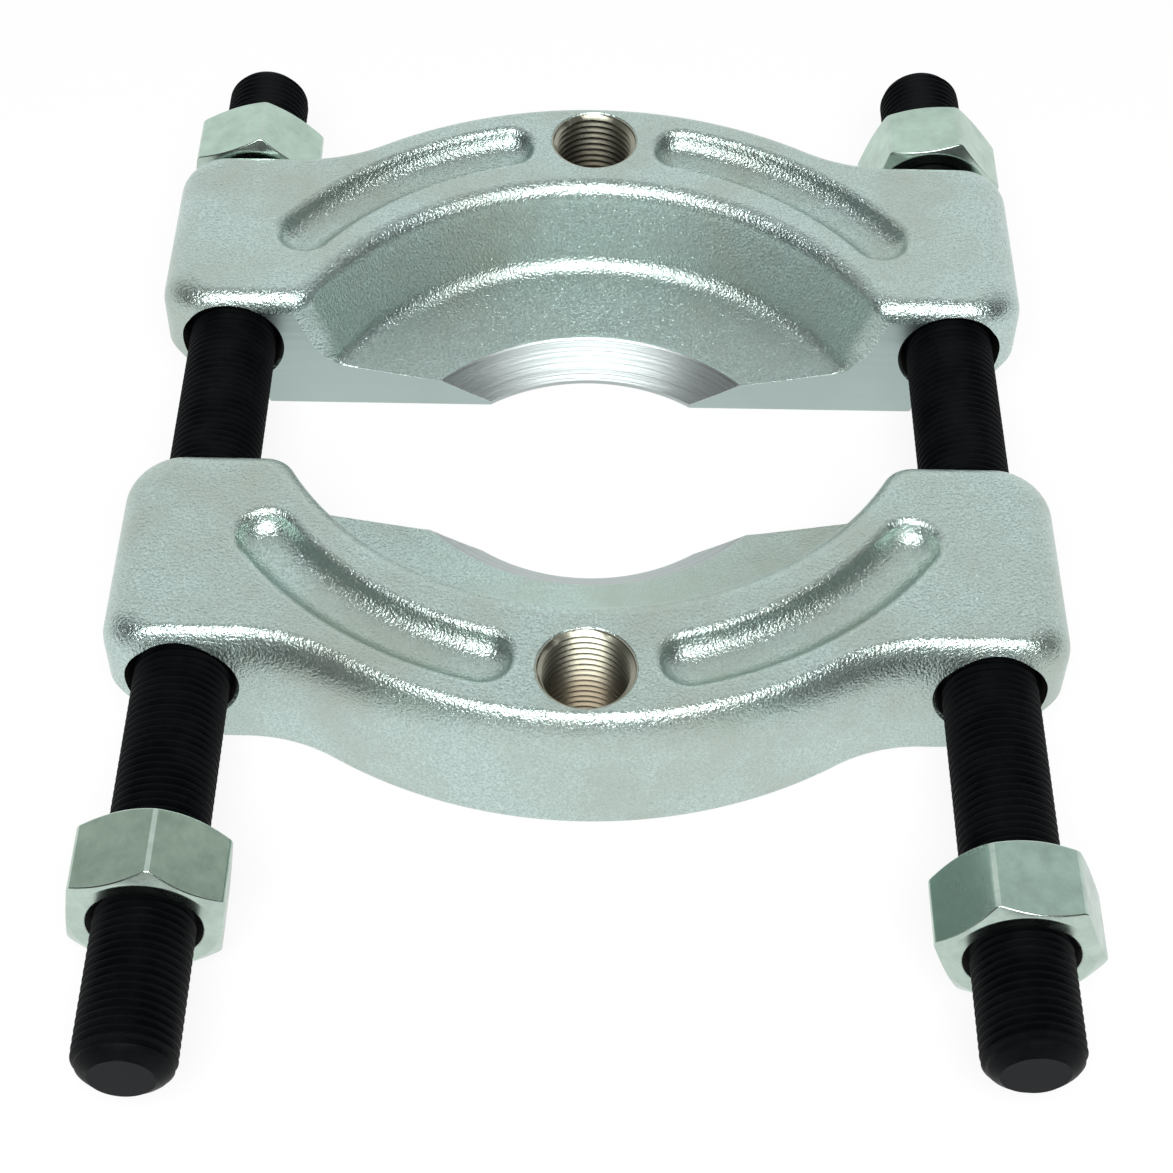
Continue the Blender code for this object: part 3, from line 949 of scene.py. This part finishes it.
def bump(tree, height, distance, strength=1.0, under=None):
    node = tree.nodes.new("ShaderNodeBump")
    node.inputs["Distance"].default_value = distance
    node.inputs["Strength"].default_value = strength
    tree.links.new(height, node.inputs["Height"])
    if under is not None:
        tree.links.new(under, node.inputs["Normal"])
    return node.outputs["Normal"]


print("finishes before this step:", len(bpy.data.materials))

# %% [markdown]
# The forged skin was blasted with shot, which leaves a satin grey surface full of tiny dents that glitter
# along the edges. Four layers make it: faint cloudy stains from handling, slow unevenness from the die,
# the dents themselves, and a fine grain that breaks up the reflections.

# %% Shot-blasted forged steel
def forged_steel(name):
    material, tree, shader = new_finish(name, (0.62, 0.63, 0.62), 1.0, 0.42)
    place = own_place(tree)
    cloud = noise(tree, place, 38.0, 4.0, 0.6)
    stain = spread(tree, cloud, 0.42, 0.68, 0.0, 1.0)
    grain = noise(tree, place, 2400.0, 2.0, 0.6)
    speck = spread(tree, grain, 0.35, 0.65, 0.0, 1.0)
    clean = blend_colours(tree, speck, (0.41, 0.507, 0.477), (0.60, 0.738, 0.703))
    stained = blend_colours(tree, stain, clean, (0.455, 0.53, 0.476))
    tree.links.new(stained, shader.inputs["Base Color"])
    dull = spread(tree, cloud, 0.3, 0.7, 0.28, 0.36)
    tree.links.new(dull, shader.inputs["Roughness"])
    uneven = bump(tree, noise(tree, place, 130.0, 3.0), 0.5 * MM, 0.35)
    dents = bump(tree, noise(tree, place, 1900.0, 2.0, 0.5), 0.16 * MM, 0.9, uneven)
    fine = bump(tree, grain, 0.13 * MM, 1.0, dents)
    tree.links.new(fine, shader.inputs["Normal"])
    return material


blasted = {word: forged_steel(f"{word}_blasted_steel") for word in ("rear", "front")}
print("blasted steel uses", len(blasted["rear"].node_tree.nodes), "nodes")

# %% [markdown]
# Three faces of a half are cut after forging. The mating face and the underside are milled, which leaves
# fine straight lines. The cone behind the knife edge is turned, which leaves rings round the bowl's axis.
# The ear bores are drilled and are coloured much darker than the forged skin.

# %% Milled, turned and drilled steel
def milled_steel(name):
    material, tree, shader = new_finish(name, (0.66, 0.67, 0.66), 1.0, 0.34)
    place = own_place(tree)
    stretch = tree.nodes.new("ShaderNodeMapping")
    stretch.inputs["Scale"].default_value = (12.0, 900.0, 900.0)
    tree.links.new(place, stretch.inputs["Vector"])
    lines = noise(tree, stretch.outputs["Vector"], 2.0, 3.0, 0.6)
    cloud = noise(tree, place, 60.0, 3.0)
    tint = blend_colours(tree, cloud, (0.37, 0.457, 0.44), (0.435, 0.535, 0.517))
    tree.links.new(tint, shader.inputs["Base Color"])
    tree.links.new(spread(tree, lines, 0.3, 0.7, 0.28, 0.42), shader.inputs["Roughness"])
    tree.links.new(bump(tree, lines, 0.03 * MM, 0.5), shader.inputs["Normal"])
    return material


def turned_steel(name, axis_y):
    material, tree, shader = new_finish(name, (0.80, 0.81, 0.80), 1.0, 0.30)
    place = own_place(tree)
    split = tree.nodes.new("ShaderNodeSeparateXYZ")
    tree.links.new(place, split.inputs["Vector"])
    off = sum_of(tree, "SUBTRACT", split.outputs["Y"], axis_y)
    square_x = sum_of(tree, "MULTIPLY", split.outputs["X"], split.outputs["X"])
    square_y = sum_of(tree, "MULTIPLY", off, off)
    radius = sum_of(tree, "SQRT", sum_of(tree, "ADD", square_x, square_y), 0.0)
    wander = spread(tree, noise(tree, place, 120.0, 2.0), 0.0, 1.0, -0.05 * MM, 0.05 * MM)
    ring = sum_of(tree, "ADD", radius, wander)
    line = tree.nodes.new("ShaderNodeTexNoise")
    line.noise_dimensions = "1D"
    line.inputs["Scale"].default_value = 1.0
    line.inputs["Detail"].default_value = 4.0
    line.inputs["Roughness"].default_value = 0.75
    tree.links.new(sum_of(tree, "MULTIPLY", ring, 1900.0), line.inputs["W"])
    groove = spread(tree, line.outputs["Fac"], 0.3, 0.7, 0.0, 1.0)
    tint = blend_colours(tree, groove, (0.33, 0.375, 0.37), (0.54, 0.59, 0.585))
    tree.links.new(tint, shader.inputs["Base Color"])
    tree.links.new(spread(tree, line.outputs["Fac"], 0.3, 0.7, 0.44, 0.32), shader.inputs["Roughness"])
    tree.links.new(bump(tree, groove, 0.07 * MM, 0.8), shader.inputs["Normal"])
    return material


def drilled_steel(name):
    material, tree, shader = new_finish(name, (0.20, 0.20, 0.19), 1.0, 0.45)
    place = own_place(tree)
    cloud = noise(tree, place, 220.0, 3.0)
    tint = blend_colours(tree, cloud, (0.10, 0.10, 0.095), (0.26, 0.25, 0.23))
    tree.links.new(tint, shader.inputs["Base Color"])
    tree.links.new(bump(tree, noise(tree, place, 900.0, 2.0), 0.05 * MM, 0.5), shader.inputs["Normal"])
    return material


machined = {}
for word, axis_y in (("rear", REAR_FACE_Y - BOWL_AXIS), ("front", FRONT_FACE_Y + BOWL_AXIS)):
    machined[word] = (
        milled_steel(f"{word}_milled_steel"),
        turned_steel(f"{word}_turned_steel", axis_y),
        drilled_steel(f"{word}_drilled_steel"),
    )
print("machined finishes for each half:", len(machined["rear"]))

# %% [markdown]
# The rods are blackened, which is a thin, dark, slightly oily layer. Cloudy patches and the sawn end
# faces have been rubbed a little lighter. The nuts are zinc plated, which is bright, slightly green, and
# cloudy, and they carry small scratches from the spanner.

# %% Black oxide, zinc and bare thread
def black_oxide(name, colour, rubbed):
    material, tree, shader = new_finish(name, colour, 0.0, 0.42)
    shader.inputs["Specular IOR Level"].default_value = 0.06
    place = own_place(tree)
    cloud = noise(tree, place, 160.0, 4.0, 0.6)
    patch = spread(tree, cloud, 0.4, 0.75, 0.0, 1.0)
    tree.links.new(blend_colours(tree, patch, colour, rubbed), shader.inputs["Base Color"])
    tree.links.new(spread(tree, cloud, 0.3, 0.7, 0.34, 0.5), shader.inputs["Roughness"])
    tree.links.new(bump(tree, noise(tree, place, 1500.0, 2.0), 0.03 * MM, 0.5), shader.inputs["Normal"])
    return material


def zinc_plate(name, tint):
    material, tree, shader = new_finish(name, tint, 1.0, 0.30)
    place = own_place(tree)
    cloud = noise(tree, place, 210.0, 4.0, 0.65)
    patch = spread(tree, cloud, 0.35, 0.7, 0.0, 1.0)
    darker = tuple(value * 0.80 for value in tint)
    tree.links.new(blend_colours(tree, patch, tint, darker), shader.inputs["Base Color"])
    tree.links.new(spread(tree, cloud, 0.3, 0.7, 0.18, 0.30), shader.inputs["Roughness"])
    stretch = tree.nodes.new("ShaderNodeMapping")
    stretch.inputs["Scale"].default_value = (1800.0, 90.0, 1800.0)
    tree.links.new(place, stretch.inputs["Vector"])
    scratch = bump(tree, noise(tree, stretch.outputs["Vector"], 1.0, 2.0), 0.02 * MM, 0.35)
    soft = bump(tree, cloud, 0.12 * MM, 0.3, scratch)
    tree.links.new(soft, shader.inputs["Normal"])
    return material


def bare_thread(name):
    material, tree, shader = new_finish(name, (0.34, 0.31, 0.25), 1.0, 0.32)
    place = own_place(tree)
    cloud = noise(tree, place, 300.0, 3.0)
    clean = blend_colours(tree, cloud, (0.27, 0.27, 0.21), (0.43, 0.43, 0.35))
    split = tree.nodes.new("ShaderNodeSeparateXYZ")
    tree.links.new(place, split.inputs["Vector"])
    # Painted shade: the thread's colour turns dark brown the deeper it lies in the hole.
    painted_depth_shade = spread(tree, split.outputs["Z"], ROD_Z + TOP, ROD_Z + TOP - 14.0 * MM, 0.0, 1.0)
    tree.links.new(blend_colours(tree, painted_depth_shade, clean, (0.10, 0.085, 0.06)), shader.inputs["Base Color"])
    tree.links.new(bump(tree, noise(tree, place, 1400.0, 2.0), 0.03 * MM, 0.5), shader.inputs["Normal"])
    return material


threads = {word: bare_thread(f"{word}_bare_thread") for word in ("rear", "front")}
print("finishes so far:", len(bpy.data.materials))

# %% [markdown]
# Each piece now gets its finishes, in the order of the numbers that its faces carry. A mesh that was
# baked has lost the numbers it had before, so the faces are numbered only after the finishes are in
# place.

# %% Give every piece its finishes
def dress(piece, finishes):
    for finish in finishes:
        piece.data.materials.append(finish)


for half, word in ((rear_half, "rear"), (front_half, "front")):
    dress(half, (blasted[word], *machined[word]))
half_finishes(rear_half, REAR_FACE_Y, 1)
half_finishes(front_half, FRONT_FACE_Y, -1)
for rod, word in ((left_rod, "left"), (right_rod, "right")):
    skin = black_oxide(f"{word}_black_oxide", (0.0015, 0.0020, 0.0026), (0.0040, 0.0046, 0.0054))
    ends = black_oxide(f"{word}_rod_end", (0.004, 0.005, 0.006), (0.008, 0.009, 0.010))
    dress(rod, (skin, ends))
    for polygon in rod.data.polygons:
        polygon.material_index = 1 if abs(polygon.normal.y) > 0.999 else 0
for sleeve, word in ((rear_sleeve, "rear"), (front_sleeve, "front")):
    dress(sleeve, (threads[word],))
for node, nut in nuts.items():
    faced = zinc_plate(f"{node}_faced_zinc", (0.52, 0.64, 0.57))
    # Painted shade: the nut's thread and the mouth of its bore are coloured nearly black.
    painted_bore_shade = black_oxide(f"{node}_thread", (0.006, 0.006, 0.006), (0.012, 0.012, 0.012))
    # The flats' tint is partly duller drawn zinc and, on the front nuts, painted shade.
    drawn = zinc_plate(f"{node}_drawn_zinc_and_painted_shade", NUT_FLAT_TINT_AND_PAINTED_SHADE[node])
    dress(nut, (faced, painted_bore_shade, drawn))
    nut_finishes(nut, node)
print("finishes:", len(bpy.data.materials))

# %% [markdown]
# Now each piece is tied to the solid part that it stands for. It rides on that part's body and hides the
# plain solid. The threaded sleeves belong to the same part as the forging round them.

# %% Tie the pieces to the moving bodies
def stand_for(piece, node):
    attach(piece, node)
    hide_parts(node)


stand_for(rear_half, "rear_half")
stand_for(front_half, "front_half")
stand_for(rear_sleeve, "rear_half")
stand_for(front_sleeve, "front_half")
stand_for(left_rod, "left_rod")
stand_for(right_rod, "right_rod")
for node, nut in nuts.items():
    stand_for(nut, node)

# %% [markdown]
# The tool lies on a white table. The table keeps a soft shadow, so it is an ordinary matt white, mixed
# with plain white where the camera or a reflection sees it.

# %% White table
bpy.ops.mesh.primitive_plane_add(size=8.0, location=(0.0, 0.0, -0.0002))
table = bpy.context.object
table.name = "white_table"
TABLE_GLOW = 0.88
table_finish, table_tree, table_shader = new_finish("white_table", (0.93, 0.93, 0.93), 0.0, 0.9)
table_shader.inputs["Specular IOR Level"].default_value = 0.0
glow = table_tree.nodes.new("ShaderNodeEmission")
glow.inputs["Strength"].default_value = 1.0
rays = table_tree.nodes.new("ShaderNodeLightPath")
seen = sum_of(table_tree, "MAXIMUM", rays.outputs["Is Camera Ray"], rays.outputs["Is Glossy Ray"])
seen = sum_of(table_tree, "MAXIMUM", seen, rays.outputs["Is Transmission Ray"])
mixer = table_tree.nodes.new("ShaderNodeMixShader")
table_tree.links.new(sum_of(table_tree, "MULTIPLY", seen, TABLE_GLOW), mixer.inputs["Fac"])
table_tree.links.new(table_shader.outputs["BSDF"], mixer.inputs[1])
table_tree.links.new(glow.outputs["Emission"], mixer.inputs[2])
table_tree.links.new(mixer.outputs["Shader"], table_tree.nodes["Material Output"].inputs["Surface"])
table.data.materials.append(table_finish)
table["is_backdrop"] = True
print("table:", table.dimensions.x, "m wide")

# %% [markdown]
# Steel shows what is around it, so the sky matters more than the lamp. It is white low down and on the
# far side, like a sheet of backdrop paper, and the flat tops mirror that paper. Overhead and behind the
# camera it turns into a dark room, which draws the dark lines beside every highlight and shades the bowl.

# %% Sky: white backdrop on the far side, dark room behind the camera
world = bpy.data.worlds.new("studio")
bpy.context.scene.world = world
world.use_nodes = True
sky = world.node_tree
backdrop = sky.nodes["Background"]
facing = sky.nodes.new("ShaderNodeTexCoord").outputs["Generated"]
parts = sky.nodes.new("ShaderNodeSeparateXYZ")
sky.links.new(facing, parts.inputs["Vector"])


def rise(degrees):
    """Height on the sky's unit ball of a direction so many degrees above the horizon."""
    return math.sin(math.radians(degrees))


paper_end = spread(sky, parts.outputs["Z"], rise(2.0), rise(7.0), 0.0, 1.0)
room_side = spread(sky, parts.outputs["Y"], 0.56, 0.08, 0.0, 1.0)
room = blend_colours(sky, room_side, (0.98, 0.99, 0.99), (0.04, 0.04, 0.042))
sky.links.new(blend_colours(sky, paper_end, (1.0, 1.0, 1.0), room), backdrop.inputs["Color"])
backdrop.inputs["Strength"].default_value = 1.0
print("paper ends between 2 and 7 degrees up, room behind the camera")

# %% [markdown]
# One soft lamp does the rest. It hangs above and behind the camera. The rounded edges and the turned cone
# that lean towards it catch it as white lines and a white crescent.

# %% Soft lamp
def soft_lamp(name, place, size_x, size_y, power):
    data = bpy.data.lights.new(name, "AREA")
    data.shape = "RECTANGLE"
    data.size = size_x
    data.size_y = size_y
    data.energy = power
    lamp = bpy.data.objects.new(name, data)
    bpy.context.scene.collection.objects.link(lamp)
    lamp.location = place
    lamp.rotation_mode = "QUATERNION"
    lamp.rotation_quaternion = Vector(place).to_track_quat("Z", "Y")
    return lamp


front_lamp = soft_lamp("front_lamp", (0.0, -0.60, 0.86), 0.80, 0.56, 13.0)
bpy.context.scene.view_settings.view_transform = "Standard"
print("lamp at", round(front_lamp.location.length, 2), "m,", front_lamp.data.energy, "W")

# %% [markdown]
# Last, the finished pieces are measured against the solid model, and the growth of each corner of the box is
# printed.

# %% Measure and finish
finished_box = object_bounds()
for solid_corner, made_corner in zip(solid_box, finished_box):
    print("corner grows by", [round((b - a) * 1000, 2) for a, b in zip(solid_corner, made_corner)], "mm")
